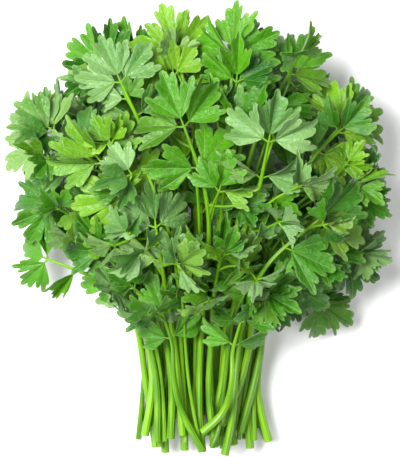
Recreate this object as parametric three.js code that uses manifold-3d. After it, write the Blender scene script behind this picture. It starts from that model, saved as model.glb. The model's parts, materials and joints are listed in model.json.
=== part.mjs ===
import * as THREE from "three";
import { mergeVertices } from "three/addons/utils/BufferGeometryUtils.js";
import Module from "manifold-3d";

// A cut bunch of flat-leaf parsley, lying on a table. Millimetres, +Z up.
// The cut stem ends point along -Y and the leaves along +Y.
// While the bunch is laid out, y = 0 is its neck, where the stems fan out into the head of leaves.

const wasm = await Module();
wasm.setup();

// Driving dimensions of the bunch.
const HEAD_WIDTH = 184; // between the crowns of the outermost leaves
const HEAD_LENGTH = 166; // from the neck to the crowns of the furthest leaves
const HEAD_HEIGHT = 100; // from the table to the crowns of the highest leaves
const STEM_LENGTH = 76; // from the neck to the longest cut end
const END_SCATTER = 18; // how much shorter the shortest cut end is, and how far the ends stray sideways
const NECK_WIDTH = 88;
const NECK_HEIGHT = 38;
const NECK_LEVEL = 22; // height of the middle of the neck above the table

// Driving dimensions of one sprig. Its leaf is scaled by the sprig's own size.
const STEM_RADIUS = 2.5; // at the cut end
const TOP_RADIUS = 1.2; // where the stem meets its leaf
const AXIS_LENGTH = 28; // from the stem to the crown, where the three end leaflets meet
const AXIS_RADIUS = 1;
const LEAFLET_LENGTH = 29;
const LEAFLET_WIDTH = 27;
const LEAFLET_ROOT_THICKNESS = 1.2;
const LEAFLET_TIP_THICKNESS = 0.7;

// Gaps that keep the pieces apart.
const JOINT_GAP = 0.3; // between a stem and its own leaf
const STEM_GAP = 1.8; // that the stems are pushed apart to, before their bends are made of short bars
const LEAF_GAP = 0.35; // around each leaf

const DEGREE = Math.PI / 180;
const STEM_SIDES = 6;
const STEM_STEPS = 12; // straight bars that a stem's bend is made of
const STEM_SAMPLES = 72; // points along a stem while the stems are pushed apart
const SETTLING_ROUNDS = 260;
const TURNS_TRIED = 300;
const SHARES_TRIED = [1, 0.92, 0.84, 0.76, 0.68, 0.6, 0.52, 0.44, 0.36];

const STEM_GREEN = 0x86b83a;
const LEAF_GREENS = {
  mid: 0x3f8f22,
  dark: 0x2a6b1c,
  pale: 0x8fc75a,
  lime: 0x6db52c,
};

// One row per sprig, the topmost near the neck first and the ones under the bunch last.
// The crown of its leaf lies across from -1 to 1 over the width of the head,
// along from 0 at the neck to 1, and up from 0 at the table to 1.
// The leaf points along heading, where 90 is +Y, rises by pitch and leans by roll, in degrees.
const SPRIGS = [
  { across: -0.25, along: 0.08, up: 0.6, heading: 108, pitch: 20, roll: 0, size: 0.85, tone: "mid" },
  { across: 0.26, along: 0.06, up: 0.62, heading: 76, pitch: 20, roll: 0, size: 0.85, tone: "mid" },
  { across: -0.62, along: 0.3, up: 0.6, heading: 125, pitch: 5, roll: -10, size: 1, tone: "mid" },
  { across: 0.56, along: 0.2, up: 0.6, heading: 35, pitch: 8, roll: 5, size: 1, tone: "dark" },
  { across: -0.28, along: 0.38, up: 0.8, heading: 98, pitch: 20, roll: -5, size: 1, tone: "pale" },
  { across: 0.12, along: 0.28, up: 0.78, heading: 82, pitch: 22, roll: 5, size: 1, tone: "lime" },
  { across: 0.72, along: 0.42, up: 0.78, heading: 45, pitch: 0, roll: 10, size: 1.15, tone: "dark" },
  { across: -0.62, along: 0.6, up: 0.84, heading: 125, pitch: 15, roll: -5, size: 1.15, tone: "lime" },
  { across: -0.09, along: 0.72, up: 0.98, heading: 108, pitch: 20, roll: 0, size: 1.15, tone: "mid" },
  { across: 0.42, along: 0.68, up: 0.96, heading: 80, pitch: 20, roll: 5, size: 1.05, tone: "pale" },
  { across: -0.5, along: 0.88, up: 0.8, heading: 115, pitch: 12, roll: -5, size: 1, tone: "pale" },
  { across: -0.6, along: 0.94, up: 0.5, heading: 150, pitch: 5, roll: 0, size: 1.1, tone: "mid" },
  { across: -0.16, along: 1, up: 0.64, heading: 105, pitch: 5, roll: 10, size: 1, tone: "lime" },
  { across: 0.2, along: 0.98, up: 0.78, heading: 88, pitch: 5, roll: -10, size: 1.05, tone: "mid" },
  { across: 0.57, along: 0.92, up: 0.6, heading: 60, pitch: 0, roll: 0, size: 1, tone: "mid" },
  { across: 0.94, along: 0.74, up: 0.56, heading: 45, pitch: 0, roll: 5, size: 1.05, tone: "lime" },
  { across: 1, along: 0.52, up: 0.48, heading: 0, pitch: -5, roll: 10, size: 0.95, tone: "dark" },
  { across: 0.94, along: 0.27, up: 0.42, heading: -12, pitch: -5, roll: 0, size: 1, tone: "dark" },
  { across: 0.78, along: 0.08, up: 0.3, heading: -30, pitch: -5, roll: 0, size: 0.95, tone: "dark" },
  { across: -1, along: 0.7, up: 0.5, heading: 155, pitch: -5, roll: 0, size: 1.1, tone: "pale" },
  { across: -0.98, along: 0.46, up: 0.5, heading: 175, pitch: -5, roll: -5, size: 1, tone: "mid" },
  { across: -1, along: 0.26, up: 0.4, heading: 160, pitch: -5, roll: 0, size: 0.85, tone: "mid" },
  { across: -0.74, along: 0.78, up: 0.18, heading: 140, pitch: -12, roll: 0, size: 1, tone: "mid" },
  { across: -0.22, along: 0.88, up: 0.19, heading: 100, pitch: -12, roll: 0, size: 1, tone: "dark" },
  { across: 0.33, along: 0.86, up: 0.19, heading: 80, pitch: -12, roll: 0, size: 1, tone: "mid" },
  { across: 0.8, along: 0.64, up: 0.15, heading: 30, pitch: -10, roll: 0, size: 1, tone: "mid" },
  { across: 0.82, along: 0.34, up: 0.13, heading: -10, pitch: -8, roll: 0, size: 1, tone: "dark" },
  { across: -0.8, along: 0.44, up: 0.13, heading: 170, pitch: -8, roll: 0, size: 1, tone: "mid" },
  { across: -0.36, along: 0.42, up: 0.11, heading: 112, pitch: 0, roll: 0, size: 1, tone: "dark" },
  { across: 0.34, along: 0.44, up: 0.11, heading: 68, pitch: 0, roll: 0, size: 1, tone: "dark" },
];

// Evenly spread values from 0 to 1, the same each time.
function spread(index, salt) {
  const value = index * 0.6180339887 + salt * 0.7548776662;
  return value - Math.floor(value);
}

function solidFrom(geometry) {
  const bare = geometry.clone();
  bare.deleteAttribute("normal");
  bare.deleteAttribute("uv");
  const merged = mergeVertices(bare);
  const vertProperties = new Float32Array(merged.attributes.position.array);
  const triVerts = new Uint32Array(merged.index.array);
  return new wasm.Manifold(new wasm.Mesh({ numProp: 3, vertProperties, triVerts }));
}

function geometryFrom(solid) {
  const mesh = solid.getMesh();
  const geometry = new THREE.BufferGeometry();
  geometry.setAttribute("position", new THREE.BufferAttribute(new Float32Array(mesh.vertProperties), 3));
  geometry.setIndex(new THREE.BufferAttribute(new Uint32Array(mesh.triVerts), 1));
  geometry.computeVertexNormals();
  return geometry;
}

function material(color, roughness) {
  return new THREE.MeshStandardMaterial({ color, roughness, metalness: 0 });
}

function numbered(name, index) {
  return `${name}_${String(index + 1).padStart(2, "0")}`;
}

// ---- Stems ----

// The course of a stem before it is settled: cut end, waist, neck, and out to its leaf.
function stemCourse(sprig, index) {
  const crown = new THREE.Vector3(
    (sprig.across * HEAD_WIDTH) / 2,
    sprig.along * HEAD_LENGTH,
    sprig.up * HEAD_HEIGHT,
  );
  const pointing = new THREE.Vector3(0, 1, 0).applyEuler(leafTurn(sprig.pitch, 0, sprig.heading));
  const top = crown.clone().addScaledVector(pointing, -AXIS_LENGTH * sprig.size);

  // Where the stem lies in the neck: fan runs from -1 to 1 sideways and rise from -1 to 1 upwards.
  const swing = Math.atan2(top.x, top.y + 0.4 * HEAD_LENGTH) / (32 * DEGREE);
  const fan = THREE.MathUtils.clamp(swing, -0.86, 0.86);
  const slope = Math.atan2(crown.z - NECK_LEVEL, crown.y + 0.25 * HEAD_LENGTH);
  const rise = (slope - 0.15) / 0.3;
  const neck = new THREE.Vector3(
    THREE.MathUtils.clamp((fan * NECK_WIDTH) / 2, -Math.abs(top.x), Math.abs(top.x)),
    Math.min(0, top.y - 0.1 * HEAD_LENGTH),
    NECK_LEVEL + (rise * NECK_HEIGHT) / 2,
  );
  const waist = new THREE.Vector3(
    neck.x * (0.88 - 0.1 * rise),
    (neck.y - 0.9 * STEM_LENGTH) / 2,
    0.9 * NECK_LEVEL + 0.42 * rise * NECK_HEIGHT,
  );
  const end = new THREE.Vector3(
    neck.x * (0.9 - 0.45 * rise) + END_SCATTER * (spread(index, 5) - 0.5),
    -STEM_LENGTH + END_SCATTER * spread(index, 3),
    0.8 * NECK_LEVEL + 0.45 * rise * NECK_HEIGHT,
  );

  const arrival = top.clone().sub(neck).normalize().addScaledVector(pointing, 1.2).normalize();
  const lead = top.clone().addScaledVector(arrival, -0.16 * HEAD_LENGTH);
  const points = lead.y > 0.12 * HEAD_LENGTH ? [end, waist, neck, lead, top] : [end, waist, neck, top];
  return new THREE.CatmullRomCurve3(points, false, "centripetal").getSpacedPoints(STEM_SAMPLES);
}

function radiusAlong(share) {
  return THREE.MathUtils.lerp(STEM_RADIUS, TOP_RADIUS, share);
}

// Push the stems apart until none touch, and keep each above the table and smooth.
function settleStems(courses) {
  const settled = courses.map((course) => course.map((point) => point.clone()));
  for (let round = 0; round < SETTLING_ROUNDS; round += 1) {
    settled.forEach((stem, s) => {
      settled.slice(s + 1).forEach((other) => pushApart(stem, other));
    });
    settled.forEach((stem, s) => {
      smoothShift(stem, courses[s]);
      stem.forEach((point, i) => {
        point.z = Math.max(point.z, radiusAlong(i / STEM_SAMPLES));
      });
    });
  }
  return settled;
}

function pushApart(stem, other) {
  const step = new THREE.Vector3();
  stem.forEach((point, i) => {
    other.forEach((rival, j) => {
      const room = radiusAlong(i / STEM_SAMPLES) + radiusAlong(j / STEM_SAMPLES) + STEM_GAP;
      if (Math.abs(rival.x - point.x) > room) return;
      step.subVectors(rival, point);
      const distance = step.length();
      if (distance > room) return;
      step.multiplyScalar((room - distance) / (2 * Math.max(distance, 0.01)));
      point.sub(step);
      rival.add(step);
    });
  });
}

// Share each point's shift with its neighbours, so that the stem stays a smooth curve.
function smoothShift(stem, course) {
  const shifts = stem.map((point, i) => point.clone().sub(course[i]));
  stem.forEach((point, i) => {
    const before = shifts[Math.max(i - 1, 0)];
    const after = shifts[Math.min(i + 1, STEM_SAMPLES)];
    const mean = before.clone().add(after).multiplyScalar(0.5);
    point.copy(course[i]).add(shifts[i].clone().lerp(mean, 0.5));
  });
}

// A tapering round bar with closed ends, bent along its course.
function stemGeometry(course) {
  const guides = course.filter((_, i) => i % 4 === 0);
  const curve = new THREE.CatmullRomCurve3(guides, false, "centripetal");
  const frames = curve.computeFrenetFrames(STEM_STEPS, false);
  const geometry = new THREE.CylinderGeometry(TOP_RADIUS, STEM_RADIUS, 1, STEM_SIDES, STEM_STEPS);
  const position = geometry.attributes.position;
  for (let i = 0; i < position.count; i += 1) {
    const row = Math.round((position.getY(i) + 0.5) * STEM_STEPS);
    const bent = curve.getPointAt(row / STEM_STEPS);
    bent.addScaledVector(frames.normals[row], position.getX(i));
    bent.addScaledVector(frames.binormals[row], -position.getZ(i));
    position.setXYZ(i, bent.x, bent.y, bent.z);
  }
  geometry.computeVertexNormals();
  return geometry;
}

// ---- Leaves ----

// Half of a wedge-shaped leaflet with three lobes, as shares of its half width and its length.
const LEAFLET_SIDE = [
  [0.07, 0],
  [0.66, 0.4],
  [1, 0.64],
  [0.46, 0.66],
  [0.52, 0.88],
];

function leafletOutline(length, width) {
  const half = width / 2;
  const right = LEAFLET_SIDE.map(([x, y]) => new THREE.Vector2(x * half, y * length));
  const left = LEAFLET_SIDE.toReversed().map(([x, y]) => new THREE.Vector2(-x * half, y * length));
  return new THREE.Shape([...right, new THREE.Vector2(0, length), ...left]);
}

// The blade thins evenly from its root to its tip. The margin makes it bigger all round.
function leafletGeometry(size, margin) {
  const length = LEAFLET_LENGTH * size + margin;
  const outline = leafletOutline(length, LEAFLET_WIDTH * size + 2 * margin);
  const geometry = new THREE.ExtrudeGeometry(outline, { depth: 1, bevelEnabled: false });
  const position = geometry.attributes.position;
  for (let i = 0; i < position.count; i += 1) {
    const share = position.getY(i) / length;
    const thickness = THREE.MathUtils.lerp(LEAFLET_ROOT_THICKNESS, LEAFLET_TIP_THICKNESS, share);
    position.setZ(i, (position.getZ(i) - 0.5) * (thickness + 2 * margin));
  }
  return geometry;
}

// Where the leaflets sit along the leaf axis, and how far they turn away from it.
const LEAFLET_PLACES = [
  { at: 0.98, turn: 0 },
  { at: 0.94, turn: 62 },
  { at: 0.94, turn: -62 },
  { at: 0.16, turn: 68 },
  { at: 0.16, turn: -68 },
];

// A compound leaf. Its axis starts at the origin and runs along +Y, and it faces +Z.
function leafGeometry(index, size, margin) {
  const length = AXIS_LENGTH * size;
  const radius = AXIS_RADIUS + margin;
  const axis = new THREE.CylinderGeometry(radius, radius, length, STEM_SIDES);
  axis.translate(0, length / 2, 0);
  const leaflets = LEAFLET_PLACES.map(({ at, turn }, k) => {
    const droop = 4 + 16 * spread(index, k);
    const lean = 30 * (spread(index, k + 7) - 0.5);
    const leaflet = leafletGeometry(size, margin);
    leaflet.rotateY(lean * DEGREE);
    leaflet.rotateX(-droop * DEGREE);
    leaflet.rotateZ(turn * DEGREE);
    leaflet.translate(0, at * length, 0);
    return leaflet;
  });
  const solid = leaflets.reduce((leaf, leaflet) => leaf.add(solidFrom(leaflet)), solidFrom(axis));
  return geometryFrom(solid);
}

function leafTurn(pitch, roll, heading) {
  return new THREE.Euler(pitch * DEGREE, roll * DEGREE, (heading - 90) * DEGREE, "ZXY");
}

// Turn the leaf away from the way that the sprig says, further with each try.
function turnLeaf(leaf, sprig, stemTop, k) {
  const reach = 80 * Math.sqrt(k / TURNS_TRIED);
  const pitch = sprig.pitch + reach * (spread(k, 1) - 0.5);
  const roll = sprig.roll + 1.4 * reach * (spread(k, 2) - 0.5);
  const heading = sprig.heading + reach * (spread(k, 3) - 0.5);
  leaf.rotation.copy(leafTurn(pitch, roll, heading));
  const pointing = new THREE.Vector3(0, 1, 0).applyEuler(leaf.rotation);
  const bend = Math.min(pointing.angleTo(stemTop.direction), 90 * DEGREE);
  const gap = JOINT_GAP + (TOP_RADIUS + LEAF_GAP) * Math.sin(bend);
  leaf.position.copy(stemTop.point).addScaledVector(pointing, gap);
  leaf.updateMatrix();
}

// Set the leaf on its stem where it touches nothing. A leaf that finds no room stays smaller.
function placeLeaf(leaf, sprig, index, stemTop, placed) {
  for (const share of SHARES_TRIED) {
    const size = sprig.size * share;
    const guard = leafGeometry(index, size, LEAF_GAP);
    for (let k = 0; k < TURNS_TRIED; k += 1) {
      turnLeaf(leaf, sprig, stemTop, k);
      const piece = pieceFrom(guard.clone().applyMatrix4(leaf.matrix));
      if (piece.box.min.z >= 0 && !touches(piece, placed)) {
        leaf.geometry = leafGeometry(index, size, 0);
        return;
      }
    }
  }
  throw new Error(`${leaf.name} finds no room`);
}

// A piece where it lies, as a solid with the box around it.
function pieceFrom(geometry) {
  geometry.computeBoundingBox();
  return { solid: solidFrom(geometry), box: geometry.boundingBox };
}

function touches(piece, placed) {
  const near = placed.filter((other) => other.box.intersectsBox(piece.box));
  return near.some((other) => !piece.solid.intersect(other.solid).isEmpty());
}

// ---- Assembly ----

const bunch = new THREE.Group();
const courses = settleStems(SPRIGS.map(stemCourse));

const stems = courses.map((course, s) => {
  const stem = new THREE.Mesh(stemGeometry(course), material(STEM_GREEN, 0.55));
  stem.name = numbered("stem", s);
  bunch.add(stem);
  return stem;
});

const placed = stems.map((stem) => pieceFrom(stem.geometry));
SPRIGS.forEach((sprig, s) => {
  const [before, point] = [courses[s].at(-4), courses[s].at(-1)];
  const stemTop = { point, direction: point.clone().sub(before).normalize() };
  const leaf = new THREE.Mesh(undefined, material(LEAF_GREENS[sprig.tone], 0.6));
  leaf.name = numbered("leaf", s);
  placeLeaf(leaf, sprig, s, stemTop, placed);
  placed.push(pieceFrom(leaf.geometry.clone().applyMatrix4(leaf.matrix)));
  bunch.add(leaf);
});

// The origin is the middle of the bottom of the bunch, on the table.
const box = new THREE.Box3().setFromObject(bunch, true);
const centre = box.getCenter(new THREE.Vector3());
bunch.position.set(-centre.x, -centre.y, -box.min.z);

export default bunch;
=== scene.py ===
"""A bunch of flat-leaf parsley, lying on a pale table and seen from straight above.

The CAD frame gives each stem as a bent bar and each compound leaf as five flat plates on an axis.
This script reads where they lie and grows the real surfaces there: ribbed stems and toothed, veined,
curling leaflets. It also grows the side leaves and the thin stems that the CAD leaves out.
Metres, +Z up, in the frame of the CAD part.
"""

import json
import math

import bpy
import numpy as np
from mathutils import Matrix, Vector
from mathutils.bvhtree import BVHTree


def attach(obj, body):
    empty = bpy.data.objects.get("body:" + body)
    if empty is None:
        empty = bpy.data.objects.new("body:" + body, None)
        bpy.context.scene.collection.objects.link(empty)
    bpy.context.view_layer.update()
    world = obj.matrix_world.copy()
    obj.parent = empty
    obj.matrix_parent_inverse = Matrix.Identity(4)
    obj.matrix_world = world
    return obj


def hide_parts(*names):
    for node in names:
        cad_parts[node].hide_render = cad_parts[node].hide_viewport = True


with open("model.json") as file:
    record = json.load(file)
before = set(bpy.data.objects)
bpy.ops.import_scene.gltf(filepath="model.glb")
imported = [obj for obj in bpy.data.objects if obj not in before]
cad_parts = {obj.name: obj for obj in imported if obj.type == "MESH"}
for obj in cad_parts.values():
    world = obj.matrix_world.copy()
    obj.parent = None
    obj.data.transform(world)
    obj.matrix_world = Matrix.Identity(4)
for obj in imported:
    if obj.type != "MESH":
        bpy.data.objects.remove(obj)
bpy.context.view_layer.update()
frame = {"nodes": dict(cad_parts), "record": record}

MM = 0.001
UP = np.array([0.0, 0.0, 1.0])

# The CAD plates' proportions, which give a leaflet's length from its width.
PLATE_LENGTH = 29
PLATE_WIDTH = 27

# Leaflets.
STALK_SHARE = 0.12  # of a leaflet's length, below its blade
BLADE_THICKNESS = 0.34 * MM
BLADE_ROWS = np.array((0.05, 0.34, 0.57, 0.76, 0.92, 1.0))

# Half of a blade's edge, from its tip to its lower side: angle from the midrib in degrees,
# and distance from its root as a share of its length. Teeth and notches alternate.
BLADE_EDGE = np.array(
    (
        (0, 1.0),
        (7, 0.84),
        (13, 0.87),
        (20, 0.5),
        (27.5, 0.75),
        (32.5, 0.71),
        (39, 0.9),
        (45.5, 0.7),
        (50, 0.67),
        (60, 0.27),
    )
)
SINUS = 3  # the row of the notch between the middle lobe and a side lobe
SINUS_ANGLE = BLADE_EDGE[SINUS, 0]
LOBE_ANGLE = 38
TOOTH_PROFILE = (0, 0.7, 0.93, 1)  # how far a tooth has risen, at thirds of the way from its notch

# Stems.
AXIS_RADII = (1.2 * MM, 0.8 * MM)  # of a leaf's axis, at the stem and at the crown
THIN_RADII = (1.5 * MM, 0.8 * MM)
THIN_STEMS = 26  # between the CAD stems
UNDER_STEMS = 18  # lying on the table, under the CAD stems
STEM_POINTS = 56

# Side leaves.
HEAD_START = 6 * MM  # above the neck, where the lowest may leave their stem
HEAD_REACH = 0.88  # size of the ellipsoid that the crowns keep in, as a share of the whole head's
SIDE_LEAVES = 4  # wanted on each stem
LOW_SIDE_LEAVES = 6  # wanted on each stem that lies low in the bunch
TRIES = 14  # for each side leaf
GAP_TRIES = 4200  # places looked at for gaps in the head
GAP_REACH = 0.66  # area of the ellipse that those places keep in, as a share of the whole head's
GAP_START = 12 * MM  # above the neck, where the lowest of those places lie
BACKING_SHARE = 3  # one in so many of those places may get a low leaf, even under others
HANG = 8 * MM  # how far side leaves may hang below the neck
SHOULDER_START = 30 * MM  # how far out from the middle the head's lower edge begins to rise
SHOULDERS = (0.95, 0.5)  # slope of the head's lower edge from the neck outwards, on the left and right

REST_SOFTNESS = 1.5 * MM  # how gently what would lie below the table is bent up to rest on it

CAMERA_SHIFT = (0.5 * MM, 2.5 * MM)  # from over the middle of the bunch
CAMERA_DISTANCE = 0.998  # as a share of where the bunch's length would just fill the picture

rng = np.random.RandomState(11)


def unit(v):
    v = np.asarray(v, float)
    return v / max(np.linalg.norm(v), 1e-12)


def turned(v, axis, degrees):
    """v turned about a unit axis."""
    a = math.radians(degrees)
    return v * math.cos(a) + np.cross(axis, v) * math.sin(a) + axis * (axis @ v) * (1 - math.cos(a))


# ---- Reading the CAD frame ----


def points_and_triangles(node):
    mesh = frame["nodes"][node].data
    mesh.calc_loop_triangles()
    points = np.zeros(len(mesh.vertices) * 3)
    mesh.vertices.foreach_get("co", points)
    triangles = np.zeros(len(mesh.loop_triangles) * 3, np.int64)
    mesh.loop_triangles.foreach_get("vertices", triangles)
    return points.reshape(-1, 3), triangles.reshape(-1, 3)


def stem_course(node):
    """The middle line of a CAD stem from its cut end, and its radius at each point."""
    points, _ = points_and_triangles(node)
    left = np.unique(np.round(points, 7), axis=0)
    rings = []
    while len(left):
        ring = left[:1]
        for _ in range(6):
            close = np.linalg.norm(left[:, None] - ring[None], axis=2).min(1) < 3 * MM
            ring = left[close]
        rings.append(ring)
        left = left[~close]
    order = [min(rings, key=lambda r: r.mean(0)[1])]
    while len(order) < len(rings):
        last = order[-1].mean(0)
        rest = [r for r in rings if not any(r is o for o in order)]
        order.append(min(rest, key=lambda r: np.linalg.norm(r.mean(0) - last)))
    centres = np.array([r.mean(0) for r in order])
    radii = np.array([np.linalg.norm(r - r.mean(0), axis=1).max() for r in order])
    return centres, radii


def flat_faces(node):
    """The large flat faces of a CAD leaf: normal, middle and corners of each."""
    points, triangles = points_and_triangles(node)
    corners = points[triangles]
    cross = np.cross(corners[:, 1] - corners[:, 0], corners[:, 2] - corners[:, 0])
    area = np.linalg.norm(cross, axis=1) / 2
    normal = cross / (2 * np.maximum(area, 1e-15))[:, None]
    free = area > 0.02 * MM * MM
    faces = []
    for i in np.argsort(-area):
        if not free[i]:
            continue
        height = abs((corners - corners[i].mean(0)) @ normal[i]).max(1)
        same = free & (normal @ normal[i] > 0.9997) & (height < 0.07 * MM)
        free &= ~same
        if area[same].sum() > 60 * MM * MM:
            weight = area[same][:, None]
            facing = unit((normal[same] * weight).sum(0))
            middle = (corners[same].mean(1) * weight).sum(0) / weight.sum()
            faces.append((facing, middle, corners[same].reshape(-1, 3)))
    return faces


def leaflet_frames(node):
    """Where each leaflet of a CAD leaf lies: root, direction, normal and length."""
    frames = []
    faces = flat_faces(node)
    while faces:
        facing, middle, cloud = faces.pop(0)
        for k, (other, other_middle, other_cloud) in enumerate(faces):
            between = (middle + other_middle) / 2
            on_one = between - facing * ((between - middle) @ facing)
            on_other = between - other * ((between - other_middle) @ other)
            near = np.linalg.norm(middle - other_middle) < 8 * MM
            if facing @ other > -0.999 or np.linalg.norm(on_one - on_other) > 1.8 * MM or not near:
                continue
            faces.pop(k)
            normal = unit(facing - other)
            along = facing + other
            along = unit(along - normal * (along @ normal))
            across = np.cross(along, normal)
            both = np.vstack([cloud, other_cloud])
            low, high = (both @ across).min(), (both @ across).max()
            length = (high - low) / PLATE_WIDTH * PLATE_LENGTH
            level = normal @ (on_one + on_other) / 2
            root = across * (low + high) / 2 + along * ((both @ along).max() - length) + normal * level
            normal = normal if normal[2] > 0 else -normal
            frames.append({"root": root, "along": along, "normal": normal, "length": length})
            break
    return frames


# ---- Mesh making ----


class Surface:
    """Quads gathered for one mesh, with a UV map and values that its material reads."""

    VALUES = ("tone", "under", "backlit_lime", "edge")

    def __init__(self):
        self.points, self.faces, self.uvs, self.values = [], [], [], []
        self.count = 0

    def add(self, points, faces, uvs, values):
        """Quads on points, with a UV for each corner and the four values for each quad."""
        self.points.append(points)
        self.faces.append(faces + self.count)
        self.uvs.append(uvs)
        self.values.append(np.broadcast_to(values, (len(faces), 4)))
        self.count += len(points)

    def build(self, name, material):
        faces = np.vstack(self.faces)
        mesh = bpy.data.meshes.new(name)
        mesh.vertices.add(self.count)
        mesh.vertices.foreach_set("co", np.vstack(self.points).ravel())
        mesh.loops.add(faces.size)
        mesh.loops.foreach_set("vertex_index", faces.ravel())
        mesh.polygons.add(len(faces))
        mesh.polygons.foreach_set("loop_start", np.arange(0, faces.size, 4))
        mesh.polygons.foreach_set("use_smooth", np.ones(len(faces), bool))
        mesh.uv_layers.new(name="shape").data.foreach_set("uv", np.vstack(self.uvs).ravel())
        values = np.vstack(self.values)
        for k, key in enumerate(self.VALUES):
            attribute = mesh.attributes.new(key, "FLOAT", "FACE")
            attribute.data.foreach_set("value", np.ascontiguousarray(values[:, k], np.float32))
        mesh.update(calc_edges=True)
        mesh.validate()
        mesh.materials.append(material)
        thing = bpy.data.objects.new(name, mesh)
        bpy.context.scene.collection.objects.link(thing)
        return thing


def grid_quads(columns, rows, closed=False):
    """Quads of a grid of points, column by column. A closed one joins its last row to its first."""
    c, r = np.meshgrid(np.arange(columns - 1), np.arange(rows if closed else rows - 1), indexing="ij")
    c, r = c.ravel(), r.ravel()
    n = (r + 1) % rows
    return np.stack([c * rows + r, c * rows + n, (c + 1) * rows + n, (c + 1) * rows + r], axis=1)


def tube(surface, course, radii, sides, tone, ribs=0.0):
    """A round bar along a course, with lengthwise grooves cut ribs deep as a share of its radius."""
    tangents = np.gradient(course, axis=0)
    angles = np.arange(sides) * 2 * math.pi / sides
    reach = 1 - ribs * (1 - np.cos(angles * sides / 4)) / 2
    side = np.cross(tangents[0], UP)
    rings = []
    for centre, tangent, radius in zip(course, tangents, radii):
        ahead = unit(tangent)
        side = unit(side - ahead * (side @ ahead))
        circle = np.outer(np.cos(angles), side) + np.outer(np.sin(angles), np.cross(ahead, side))
        rings.append(centre + circle * (reach * radius)[:, None])
    steps = np.linalg.norm(np.diff(course, axis=0), axis=1)
    v = np.concatenate([[0], np.cumsum(steps)]) / (20 * MM)
    c, r = np.divmod(np.arange((len(course) - 1) * sides), sides)
    u0, u1 = r / sides, (r + 1) / sides
    uvs = np.stack([[u0, v[c]], [u1, v[c]], [u1, v[c + 1]], [u0, v[c + 1]]]).transpose(2, 0, 1)
    quads = grid_quads(len(course), sides, closed=True)
    surface.add(np.vstack(rings), quads, uvs.reshape(-1, 2), (tone, 0, 0, 0))
    cap(surface, rings[0][::-1], course[0], (tone, 1, 0, 0))
    cap(surface, rings[-1], course[-1], (tone, 0, 0, 0))


def cap(surface, ring, centre, values):
    """Closes a tube's end with quads that each span two sides of its ring."""
    sides = len(ring)
    quads = np.array([(k, (k + 1) % sides, (k + 2) % sides, sides) for k in range(0, sides, 2)])
    surface.add(np.vstack([ring, centre]), quads, np.full((quads.size, 2), 0.5), values)


def smooth_course(points, count):
    """Evenly spaced points on a smooth curve through the given ones."""
    points = np.asarray(points)
    padded = np.vstack([2 * points[0] - points[1], points, 2 * points[-1] - points[-2]])
    t = np.linspace(0, 1, 12, endpoint=False)[:, None]
    dense = []
    for a, b, c, d in zip(padded, padded[1:], padded[2:], padded[3:]):
        bend = (2 * a - 5 * b + 4 * c - d) * t**2 + (3 * b - a - 3 * c + d) * t**3
        dense.append(b + 0.5 * ((c - a) * t + bend))
    dense = np.vstack(dense + [points[-1:]])
    lengths = np.concatenate([[0], np.cumsum(np.linalg.norm(np.diff(dense, axis=0), axis=1))])
    wanted = np.linspace(0, lengths[-1], count)
    return np.stack([np.interp(wanted, lengths, dense[:, k]) for k in range(3)], axis=1)


def relaxed(course, rounds):
    """The course with its bends evened out. Its ends stay."""
    course = course.copy()
    for _ in range(rounds):
        course[1:-1] = (course[:-2] + 2 * course[1:-1] + course[2:]) / 4
    return course


def above_table(points, clearance):
    """The points with any that fall below the clearance over the table brought smoothly up to it."""
    points = points.copy()
    height = points[..., 2] - clearance
    points[..., 2] = clearance + (height + np.sqrt(height**2 + REST_SOFTNESS**2)) / 2
    return points


# ---- Leaflets ----


def blade_columns():
    """Angles and reaches of the columns of one blade, a little different each time."""
    sides = []
    for _ in range(2):
        angles, reaches = BLADE_EDGE.T.copy()
        angles[1:] += rng.uniform(-1.2, 1.2, len(angles) - 1)
        reaches[1:] *= rng.uniform(0.95, 1.05, len(reaches) - 1)
        reaches[SINUS] *= rng.uniform(0.72, 1.3)
        reaches[SINUS + 1 :] *= rng.uniform(0.86, 1.1)
        sides.append((angles, reaches))
    (left, left_reach), (right, right_reach) = sides
    angles = np.concatenate([-left[:0:-1], right])
    reaches = np.concatenate([left_reach[:0:-1], right_reach])
    at = np.arange(3 * len(angles) - 2) / 3
    k = np.minimum(at.astype(int), len(angles) - 2)
    first, last = reaches[k], reaches[k + 1]
    risen = np.where(last > first, at - k, 1 - (at - k))
    share = np.interp(risen, np.linspace(0, 1, 4), TOOTH_PROFILE)
    reaches = np.minimum(first, last) + share * abs(last - first)
    return np.interp(at, np.arange(len(angles)), angles), reaches


def blade_sheet(degrees, reaches):
    """The middle surface of one bent blade, in shares of its length: a grid of points by column."""
    angles = np.radians(degrees)[:, None]
    rho = BLADE_ROWS[None, :] * reaches[:, None]
    x = rho * np.sin(angles)
    y = rho * np.cos(angles)
    fold = rng.uniform(0.05, 0.7) if rng.uniform() < 0.68 else rng.uniform(0.75, 1.2)
    pleat = rng.uniform(0.02, 0.06)
    droop, arch = rng.uniform(-0.12, 0.32), rng.uniform(-0.3, 0.5)
    curl, twist = rng.uniform(-0.1, 0.7), rng.uniform(-0.45, 0.45)
    wave, phase = rng.uniform(0.012, 0.035), rng.uniform(0, 2 * math.pi)
    z = (
        math.sin(fold) * (np.sqrt(x**2 + 0.0009) - 0.03)
        - pleat * rho * np.cos(2 * math.pi * angles / math.radians(LOBE_ANGLE))
        - droop * y**2
        - arch * x**2
        - curl * np.maximum(rho - 0.6, 0) ** 2
        + twist * x * y
        + wave * BLADE_ROWS[None, :] ** 3 * np.sin(9 * angles + phase)
    )
    return np.stack([x * math.cos(fold), y, z], axis=2), x, y


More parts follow.
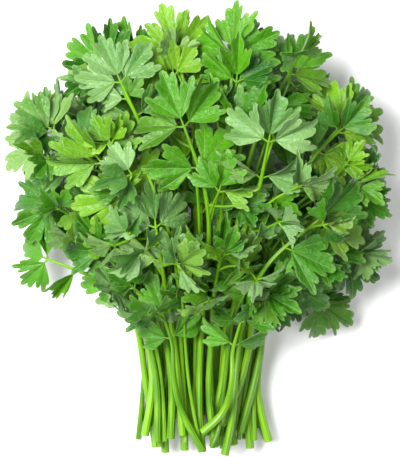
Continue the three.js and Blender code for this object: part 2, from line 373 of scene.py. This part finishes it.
def blade_uvs(x, y, degrees, quads):
    """UVs that follow the lobes: u is 0.5 on a lobe's own vein and v is the distance along it."""
    middle = (degrees[:-1] + degrees[1:]) / 2
    lobe = np.where(abs(middle) < SINUS_ANGLE, 0, np.sign(middle) * LOBE_ANGLE)
    lobe = np.radians(np.repeat(lobe, len(BLADE_ROWS) - 1))[:, None]
    x, y = x.ravel()[quads], y.ravel()[quads]
    u = x * np.cos(lobe) - y * np.sin(lobe) + 0.5
    v = x * np.sin(lobe) + y * np.cos(lobe)
    return np.stack([u, v], axis=2)


def leaflet(surface, f, tone):
    """A toothed, three-lobed blade, with an upper and a lower side and a rim between them."""
    degrees, reaches = blade_columns()
    local, x, y = blade_sheet(degrees, reaches)
    length = f["length"]
    axes = np.stack([np.cross(f["along"], f["normal"]), f["along"], f["normal"]])
    heart = f["root"] + f["along"] * length * STALK_SHARE
    sheet = above_table(heart + length * (1 - STALK_SHARE) * (local @ axes), 0.3 * MM)

    facing = np.cross(np.gradient(sheet, axis=0), np.gradient(sheet, axis=1))
    facing /= np.maximum(np.linalg.norm(facing, axis=2), 1e-12)[..., None]
    half = BLADE_THICKNESS * (1 - 0.6 * BLADE_ROWS**2)[None, :, None] / 2
    top = (sheet + facing * half).reshape(-1, 3)
    bottom = (sheet - facing * half).reshape(-1, 3)

    quads = grid_quads(len(degrees), len(BLADE_ROWS))[:, ::-1]
    uvs = blade_uvs(x, y, degrees, quads)
    # A random value for each leaflet; the leaf material paints the leaflets in its top quarter lime
    # yellow-green, as painted light shining through them.
    backlit_lime = rng.uniform()
    edge = np.tile(np.arange(len(BLADE_ROWS) - 1) == len(BLADE_ROWS) - 2, len(degrees) - 1)
    values = np.stack([np.full(len(quads), tone), edge * 0, edge * 0 + backlit_lime, edge], axis=1).astype(float)
    surface.add(top, quads, uvs.reshape(-1, 2), values)
    surface.add(bottom, quads[:, ::-1], uvs[:, ::-1].reshape(-1, 2), values + (0, 1, 0, 0))

    index = np.arange(len(top)).reshape(len(degrees), -1)
    rim = np.concatenate([index[:, 0], index[-1, 1:], index[-2::-1, -1], index[0, -2:0:-1]])
    k = np.arange(len(rim))
    n = (k + 1) % len(rim)
    strip = np.stack([n, k, k + len(rim), n + len(rim)], axis=1)
    rim_uv = np.stack([x.ravel()[rim] + 0.5, y.ravel()[rim]], axis=1)
    rim_uv = np.vstack([rim_uv, rim_uv])[strip]
    surface.add(np.vstack([top[rim], bottom[rim]]), strip, rim_uv.reshape(-1, 2), (tone, 0.5, backlit_lime, 1))


def stalk(surface, start, f, tone):
    """A leaflet's short stalk, run on under its blade as the thick start of the midrib."""
    end = f["root"] + f["along"] * f["length"] * (STALK_SHARE + 0.12) - f["normal"] * 0.3 * MM
    course = smooth_course([start, f["root"] + f["along"] * 0.08 * f["length"], end], 7)
    tube(surface, above_table(course, 0.8 * MM), np.linspace(0.7, 0.3, 7) * MM, 6, tone)


# ---- Materials ----


class Nodes:
    """Short calls for building a material's node tree."""

    def __init__(self, name):
        self.material = bpy.data.materials.new(name)
        self.material.use_nodes = True
        self.tree = self.material.node_tree
        self.tree.nodes.clear()

    def put(self, socket, value):
        if isinstance(value, bpy.types.NodeSocket):
            self.tree.links.new(value, socket)
        else:
            socket.default_value = value

    def new(self, kind, **sockets):
        node = self.tree.nodes.new(kind)
        for key, value in sockets.items():
            self.put(node.inputs[key.replace("_", " ")], value)
        return node

    def math(self, operation, *values):
        node = self.tree.nodes.new("ShaderNodeMath")
        node.operation = operation
        for socket, value in zip(node.inputs, values):
            self.put(socket, value)
        return node.outputs[0]

    def blend(self, share, a, b):
        node = self.tree.nodes.new("ShaderNodeMix")
        node.data_type = "RGBA"
        for socket, value in zip((node.inputs[0], node.inputs[6], node.inputs[7]), (share, a, b)):
            self.put(socket, value)
        return node.outputs[2]

    def band(self, value, low, high, to_low=0.0, to_high=1.0):
        """A smooth step from to_low, where the value is low, to to_high, where it is high."""
        node = self.new("ShaderNodeMapRange", Value=value, From_Min=low, From_Max=high)
        self.put(node.inputs["To Min"], to_low)
        self.put(node.inputs["To Max"], to_high)
        node.interpolation_type = "SMOOTHSTEP"
        return node.outputs["Result"]

    def attribute(self, name):
        node = self.tree.nodes.new("ShaderNodeAttribute")
        node.attribute_name = name
        return node.outputs["Fac"]

    def place(self):
        return self.tree.nodes.new("ShaderNodeTexCoord").outputs["Object"]

    def shape_uv(self):
        node = self.tree.nodes.new("ShaderNodeUVMap")
        node.uv_map = "shape"
        return self.new("ShaderNodeSeparateXYZ", Vector=node.outputs["UV"])

    def noise(self, vector, scale, detail=3.0):
        return self.new("ShaderNodeTexNoise", Vector=vector, Scale=scale, Detail=detail).outputs["Fac"]


def leaf_material(name, dark, light):
    """Satin leaf with pale sunken veins, a greyer underside and light that shows through it, with
    painted sheen in pale patches and painted lime backlight on some leaflets.
    """
    n = Nodes(name)
    uv = n.shape_uv()
    place = n.place()
    drift = n.math("MULTIPLY", n.math("SUBTRACT", n.noise(place, 260.0, 2.0), 0.5), 0.12)
    aside = n.math("ABSOLUTE", n.math("SUBTRACT", uv.outputs["X"], 0.5))
    ahead = n.math("ADD", uv.outputs["Y"], drift)
    midrib = n.band(aside, 0.002, 0.013, 1.0, 0.0)
    chevron = n.math("PINGPONG", n.math("SUBTRACT", ahead, n.math("MULTIPLY", aside, 1.5)), 0.085)
    veins = n.math("MAXIMUM", midrib, n.band(chevron, 0.0, 0.011, 0.6, 0.0))
    under = n.attribute("under")
    patches = n.math("MULTIPLY", n.math("SUBTRACT", n.noise(place, 80.0), 0.5), 0.9)
    body = n.blend(n.math("ADD", n.attribute("tone"), patches), dark, light)
    # Painted sheen: pale grey-green patches from noise stand in for light glancing off the leaf.
    body = n.blend(n.band(n.noise(place, 190.0, 4.0), 0.5, 0.72, 0.0, 0.25), body, (0.23, 0.43, 0.1, 1))
    # Painted light shining through: a lime yellow-green blended into a random quarter of the leaflets.
    painted_backlight = n.math("MULTIPLY", n.band(n.attribute("backlit_lime"), 0.75, 1.0), 0.45)
    body = n.blend(painted_backlight, body, (0.23, 0.42, 0.015, 1))
    body = n.blend(n.math("MULTIPLY", n.attribute("edge"), 0.22), body, (0.31, 0.48, 0.15, 1))
    body = n.blend(n.math("MULTIPLY", veins, 0.52), body, (0.31, 0.51, 0.14, 1))
    body = n.blend(n.math("MULTIPLY", under, 0.5), body, (0.27, 0.42, 0.19, 1))
    sunk = n.math("MULTIPLY", veins, n.math("SUBTRACT", n.math("MULTIPLY", under, 1.2), 0.45))
    puckers = n.math("MULTIPLY", n.noise(place, 420.0), 1.3)
    grain = n.math("ADD", puckers, n.math("MULTIPLY", n.noise(place, 1500.0), 0.4))
    bump = n.new("ShaderNodeBump", Height=n.math("ADD", sunk, grain), Strength=0.7, Distance=0.001)
    rough = n.band(n.noise(place, 300.0), 0.3, 0.7, 0.25, 0.45)
    skin = n.new("ShaderNodeBsdfPrincipled", Base_Color=body, Roughness=rough, Normal=bump.outputs[0])
    skin.inputs["Specular IOR Level"].default_value = 0.46
    glow = n.new("ShaderNodeBsdfTranslucent", Color=n.blend(0.6, body, (0.08, 0.42, 0.004, 1)))
    mix = n.new("ShaderNodeMixShader", Fac=0.24)
    n.put(mix.inputs[1], skin.outputs[0])
    n.put(mix.inputs[2], glow.outputs[0])
    n.new("ShaderNodeOutputMaterial", Surface=mix.outputs[0])
    return n.material


def stem_material(name):
    """Yellow-green stalk with lengthwise ribs and streaks, and a pale cut face."""
    n = Nodes(name)
    uv = n.shape_uv()
    around = n.math("MULTIPLY", uv.outputs["X"], 9.0)
    ridge = n.math("COSINE", n.math("MULTIPLY", around, 2 * math.pi))
    stretched = n.new("ShaderNodeCombineXYZ", X=around, Y=uv.outputs["Y"])
    streaks = n.noise(stretched.outputs["Vector"], 1.6, 4.0)
    patches = n.math("MULTIPLY", n.math("SUBTRACT", n.noise(n.place(), 40.0), 0.5), 0.7)
    tone = n.math("ADD", n.attribute("tone"), patches)
    body = n.blend(tone, (0.04, 0.17, 0.003, 1), (0.18, 0.42, 0.007, 1))
    body = n.blend(n.band(streaks, 0.4, 0.75, 0.0, 0.5), body, (0.26, 0.49, 0.012, 1))
    body = n.blend(n.attribute("under"), body, (0.42, 0.56, 0.22, 1))
    height = n.math("ADD", ridge, n.math("MULTIPLY", streaks, 1.5))
    bump = n.new("ShaderNodeBump", Height=height, Strength=0.4, Distance=0.0003)
    skin = n.new("ShaderNodeBsdfPrincipled", Base_Color=body, Roughness=0.36, Normal=bump.outputs[0])
    skin.inputs["Specular IOR Level"].default_value = 0.36
    skin.inputs["Subsurface Weight"].default_value = 0.12
    skin.inputs["Subsurface Radius"].default_value = (0.6, 1.0, 0.2)
    skin.inputs["Subsurface Scale"].default_value = 0.002
    n.new("ShaderNodeOutputMaterial", Surface=skin.outputs[0])
    return n.material


# ---- Growing the bunch ----

CORNERS = np.vstack([points_and_triangles(node)[0] for node in frame["nodes"]])
LOW, HIGH = CORNERS.min(0), CORNERS.max(0)
NECK = LOW[1] + 76 * MM
HEART = np.array([0.0, 0.22 * HIGH[1], 0.42 * HIGH[2]])
SLOTS = {row["node"]: row["material_slot"] for row in frame["record"]["subparts"]}


class Room:
    """The blades placed so far, as coarse plates, for finding where there is room for more."""

    def __init__(self):
        self.points, self.faces = [], []
        self.tree = None

    def plate(self, f):
        """The four corners of a flat plate in place of a leaflet's blade. It leaves out the folds."""
        across = np.cross(f["along"], f["normal"]) * f["length"]
        ahead = f["along"] * f["length"]
        shares = ((0, 0.15), (0.4, 0.62), (0, 1), (-0.4, 0.62))
        return [f["root"] + aside * across + along * ahead for aside, along in shares]

    def add(self, leaflets):
        for f in leaflets:
            start = len(self.points)
            self.points += [Vector(p) for p in self.plate(f)]
            self.faces.append(tuple(range(start, start + 4)))
        self.tree = BVHTree.FromPolygons(self.points, self.faces)

    def free(self, leaflets):
        corners = [Vector(p) for f in leaflets for p in self.plate(f)]
        inside = all(p.z > 2 * MM and above_shoulder(p) for p in corners)
        inside = inside and all(LOW[k] < p[k] < HIGH[k] for p in corners for k in range(3))
        faces = [tuple(range(i, i + 4)) for i in range(0, len(corners), 4)]
        return inside and not BVHTree.FromPolygons(corners, faces).overlap(self.tree)


room = Room()


def above_shoulder(place):
    """Whether a place is in the head, and not over the stems or in the corners beside them."""
    slope = SHOULDERS[0] if place[0] < 0 else SHOULDERS[1]
    return place[1] > NECK - HANG + slope * max(abs(place[0]) - SHOULDER_START, 0)


def swayed(f):
    """A CAD leaflet's frame, turned a little so that no two hang alike."""
    normal = turned(f["normal"], f["along"], np.clip(rng.normal(0, 13), -24, 24))
    across = np.cross(f["along"], normal)
    tip = np.clip(rng.normal(0, 9), -16, 16)
    return {**f, "along": turned(f["along"], across, tip), "normal": turned(normal, across, tip)}


def read_sprig(stem):
    """One CAD stem and its leaf: their courses and the frames of the leaflets."""
    leaf = stem.replace("stem", "leaf")
    course, radii = stem_course(stem)
    leaflets = sorted(leaflet_frames(leaf), key=lambda f: np.linalg.norm(f["root"] - course[-1]))
    crown = np.mean([f["root"] for f in leaflets[2:]], axis=0)
    fork = np.mean([f["root"] for f in leaflets[:2]], axis=0)
    stem_share = 1 - np.linalg.norm(crown - course[-1]) / (
        np.linalg.norm(np.diff(course, axis=0), axis=1).sum() + np.linalg.norm(crown - course[-1])
    )
    path = relaxed(smooth_course([*course, fork, crown], STEM_POINTS), 14)
    at = np.linspace(0, 1, STEM_POINTS)
    radii = np.interp(at, [0, stem_share, 1], [radii[0], *AXIS_RADII])
    path[:, 2] = np.maximum(path[:, 2], radii)
    leaflets = [swayed(f) for f in leaflets]
    room.add(leaflets)
    sprig = {"stem": stem, "leaf": leaf, "path": path, "radii": radii, "leaflets": leaflets}
    return {**sprig, "stalks": Surface(), "blades": Surface(), "tone": rng.uniform(0.2, 0.95)}


def fan(crown, ahead, facing, size):
    """The frames of a side leaf's three leaflets around its crown."""
    leaflets = []
    for turn, share in ((0, 1.0), (58, 0.88), (-58, 0.88)):
        along = turned(ahead, facing, turn + rng.uniform(-9, 9))
        along = unit(along + facing * rng.uniform(-0.3, 0.2))
        normal = turned(unit(facing - along * (facing @ along)), along, rng.uniform(-28, 28))
        root = crown + along * 0.6 * MM
        leaflets.append({"root": root, "along": along, "normal": normal, "length": size * share})
    return leaflets


def grow_side_leaf(stalks, blades, start, crown, facing, size, tone):
    """A thin curved stalk from start to crown with three leaflets. Tells whether it had room."""
    ahead = unit(crown - start)
    facing = unit(facing - ahead * (facing @ ahead))
    leaflets = fan(crown, ahead, facing, size)
    if not room.free(leaflets):
        return False
    room.add(leaflets)
    bow = (start + crown) / 2 - facing * 0.08 * np.linalg.norm(crown - start)
    course = above_table(smooth_course([start, bow, crown], 9), 1 * MM)
    tube(stalks, course, np.linspace(0.95, 0.65, 9) * MM, 6, tone)
    for f in leaflets:
        stalk(stalks, crown, f, tone)
        leaflet(blades, f, rng.uniform(0.05, 0.95))
    return True


def facing_out(crown):
    """A direction out of the head at a crown, more up than down, and never quite the same."""
    side = np.sign(crown[2] - 0.25 * HIGH[2])
    return unit(0.8 * unit(crown - HEART) + 0.6 * UP * side + rng.normal(0, 0.5, 3))


def grow_side_leaves(stalks, blades, path, tone, wanted):
    """Side leaves on the part of a stem above the neck, growing out of the bunch where there is room."""
    starts = [i for i in range(2, len(path) - 2) if path[i, 1] > NECK + HEAD_START]
    grown = 0
    for _ in range(wanted * TRIES if starts else 0):
        if grown == wanted:
            return
        i = starts[rng.randint(len(starts))]
        forward = unit(path[i + 2] - path[i - 2])
        outward = unit(path[i] - HEART)
        way = forward * rng.uniform(0.3, 1.1) + outward * rng.uniform(0.4, 1.2)
        crown = path[i] + unit(way + rng.normal(0, 0.35, 3)) * rng.uniform(10, 34) * MM
        if np.linalg.norm((crown - HEART) / (HIGH - HEART)) > HEAD_REACH:
            continue
        size = rng.uniform(18, 31) * MM
        grown += grow_side_leaf(stalks, blades, path[i], crown, facing_out(crown), size, tone)


def between_course(sprigs, own):
    """The way between a stem and its two nearest neighbours."""
    near = sorted(sprigs, key=lambda s: np.linalg.norm(s["path"][14] - own["path"][14]))[:3]
    return np.mean([s["path"] for s in near], axis=0)


def under_course(share):
    """A way along the table under the stems, for a share from -1 on the left to 1 on the right."""
    end = (share * 38 * MM, LOW[1] + rng.uniform(6, 24) * MM, 2 * MM)
    waist = (share * 35 * MM, (LOW[1] + NECK) / 2, rng.uniform(2, 7) * MM)
    neck = (share * 37 * MM, NECK, rng.uniform(3, 12) * MM)
    top = (share * 78 * MM, NECK + rng.uniform(60, 110) * MM, rng.uniform(10, 34) * MM)
    return smooth_course([end, waist, neck, top], STEM_POINTS)


def clear_of_stems(course, sprigs):
    """A thin stem's course, pushed clear of the CAD stems."""
    stems = np.vstack([s["path"] for s in sprigs])
    reach = np.concatenate([s["radii"] for s in sprigs]) + THIN_RADII[0] + 0.1 * MM
    for _ in range(40):
        apart = course[:, None] - stems[None]
        distance = np.maximum(np.linalg.norm(apart, axis=2), 0.1 * MM)
        push = np.maximum(reach - distance, 0) / distance
        course = relaxed(course + 0.4 * (apart * push[..., None]).sum(1), 1)
        course[:, 2] = np.maximum(course[:, 2], THIN_RADII[0])
    return course


def grow_thin_stem(stalks, blades, course, tone):
    """A thin stem that ends in a small leaf, as far out along its course as the leaf has room."""
    for share in np.linspace(1, 0.5, 90):
        path = course[: int(share * STEM_POINTS)]
        start = path[-1]
        crown = start + unit(unit(start - path[-5]) + rng.normal(0, 0.4, 3)) * rng.uniform(6, 20) * MM
        size = rng.uniform(16, 25) * MM
        if crown[1] <= NECK:
            continue
        if grow_side_leaf(stalks, blades, start, crown, facing_out(crown), size, tone):
            tube(stalks, path, np.linspace(*THIN_RADII, len(path)) * rng.uniform(0.75, 1.1), 10, tone)
            return


def nearest_sprig(sprigs, place):
    """The sprig that passes nearest to a place above the neck, and where on its path."""
    best = None
    for sprig in sprigs:
        apart = np.linalg.norm(sprig["path"] - place, axis=1)
        apart[0] = 1
        i = int(apart.argmin())
        if best is None or apart[i] < best[0]:
            best = (apart[i], sprig, i)
    return best[1], best[2]


def fill_gaps(sprigs):
    """Side leaves where the table would show from above, and low ones that back the rest."""
    for k in range(GAP_TRIES):
        backing = k % BACKING_SHARE == 0
        x, y = rng.uniform(-1, 1, 2)
        if x * x + y * y > GAP_REACH:
            continue
        place = HEART + np.array([x * HIGH[0], y * (HIGH[1] - HEART[1]), 0])
        covered = room.tree.ray_cast(Vector((place[0], place[1], 1)), Vector((0, 0, -1)))[0]
        if place[1] < NECK + GAP_START or (covered and not backing):
            continue
        place[2] = (rng.uniform(5, 16) if backing else rng.uniform(8, 55)) * MM
        sprig, i = nearest_sprig(sprigs, place)
        start = sprig["path"][i]
        size = rng.uniform(15, 27) * MM
        crown = place - unit(place - start) * size * 0.5
        if np.linalg.norm(crown - start) < 6 * MM or start[1] < NECK:
            continue
        facing = unit(UP + rng.normal(0, 0.14 if backing else 0.35, 3))
        grow_side_leaf(sprig["stalks"], sprig["blades"], start, crown, facing, size, sprig["tone"])


def grow_sprig(sprig):
    """The stem and the leaf that the CAD holds."""
    tube(sprig["stalks"], sprig["path"], sprig["radii"], 16, sprig["tone"], ribs=0.1)
    for f in sprig["leaflets"]:
        gaps = np.linalg.norm(sprig["path"] - f["root"], axis=1)
        stalk(sprig["stalks"], sprig["path"][int(gaps.argmin())], f, sprig["tone"])
        leaflet(sprig["blades"], f, rng.uniform(0.1, 0.9))


def build_sprig(sprig):
    """The stem's piece and the leaf's piece, with all that has grown on them."""
    slot = SLOTS[sprig["leaf"]]
    stalks, blades = sprig["stalks"], sprig["blades"]
    keep(stalks.build(sprig["stem"] + "_visual", STEM_LOOK), sprig["stem"])
    keep(blades.build(sprig["leaf"] + "_visual", LEAF_LOOKS[slot]), sprig["leaf"])


def keep(piece, node):
    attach(piece, "root")
    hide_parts(node)


# One leaf under different light: leaf_mid is the plain leaf, leaf_dark a copy darkened as painted shade,
# leaf_lime a copy brightened to yellow-green as painted light shining through, and leaf_pale a paler
# grey-green copy, partly the pale underside and partly painted sheen.
LEAF_LOOKS = {
    "leaf_mid": leaf_material("leaf_mid", (0.01, 0.12, 0.001, 1), (0.098, 0.365, 0.004, 1)),
    "leaf_dark": leaf_material("leaf_dark", (0.006, 0.08, 0.002, 1), (0.055, 0.255, 0.006, 1)),
    "leaf_pale": leaf_material("leaf_pale", (0.05, 0.22, 0.02, 1), (0.28, 0.48, 0.17, 1)),
    "leaf_lime": leaf_material("leaf_lime", (0.03, 0.19, 0.002, 1), (0.2, 0.45, 0.01, 1)),
}
STEM_LOOK = stem_material("stem_green")


def grow_bunch():
    sprigs = [read_sprig(name) for name in sorted(frame["nodes"]) if name.startswith("stem")]
    for sprig in sprigs:
        grow_sprig(sprig)
    courses = [between_course(sprigs, sprig) for sprig in sprigs[:THIN_STEMS]]
    courses += [under_course(share) for share in np.linspace(-1, 1, UNDER_STEMS)]
    for course in courses:
        course = clear_of_stems(course, sprigs)
        sprig = nearest_sprig(sprigs, course[14])[0]
        grow_thin_stem(sprig["stalks"], sprig["blades"], course, rng.uniform(0.1, 0.7))
    for sprig in sprigs:
        wanted = LOW_SIDE_LEAVES if sprig["path"][:, 2].mean() < 0.32 * HIGH[2] else SIDE_LEAVES
        grow_side_leaves(sprig["stalks"], sprig["blades"], sprig["path"], sprig["tone"], wanted)
    fill_gaps(sprigs)
    for sprig in sprigs:
        build_sprig(sprig)


# ---- Stage ----


def area_light(name, place, size, power):
    data = bpy.data.lights.new(name, "AREA")
    data.size = size
    data.energy = power
    light = bpy.data.objects.new(name, data)
    light.location = place
    light.rotation_euler = (Vector((0, 0, 0.03)) - Vector(place)).to_track_quat("-Z", "Y").to_euler()
    bpy.context.scene.collection.objects.link(light)


def build_stage():
    mesh = bpy.data.meshes.new("floor")
    mesh.from_pydata([(-3, -3, 0), (3, -3, 0), (3, 3, 0), (-3, 3, 0)], [], [(0, 1, 2, 3)])
    n = Nodes("floor")
    skin = n.new("ShaderNodeBsdfPrincipled", Base_Color=(0.93, 0.93, 0.93, 1), Roughness=0.9)
    n.new("ShaderNodeOutputMaterial", Surface=skin.outputs[0])
    mesh.materials.append(n.material)
    floor = bpy.data.objects.new("floor", mesh)
    bpy.context.scene.collection.objects.link(floor)
    world = bpy.data.worlds.new("studio")
    world.use_nodes = True
    world.node_tree.nodes["Background"].inputs["Color"].default_value = (1, 1, 1, 1)
    world.node_tree.nodes["Background"].inputs["Strength"].default_value = 0.24
    bpy.context.scene.world = world
    area_light("key", (-0.44, 0.18, 1.04), 0.5, 26)
    area_light("fill", (0.4, -0.4, 1.2), 0.9, 6)


def place_camera():
    """Straight above the bunch, with its stems towards the bottom of the picture."""
    data = bpy.data.cameras.new("camera")
    data.lens = 85
    data.sensor_fit = "VERTICAL"
    data.sensor_height = 24
    middle = (LOW + HIGH) / 2
    distance = CAMERA_DISTANCE * (HIGH[1] - LOW[1]) * data.lens / data.sensor_height
    eye = bpy.data.objects.new("camera", data)
    eye.location = (middle[0] + CAMERA_SHIFT[0], middle[1] + CAMERA_SHIFT[1], middle[2] + distance)
    bpy.context.scene.collection.objects.link(eye)
    bpy.context.scene.camera = eye


grow_bunch()
build_stage()
place_camera()
bpy.context.scene.view_settings.view_transform = "Standard"
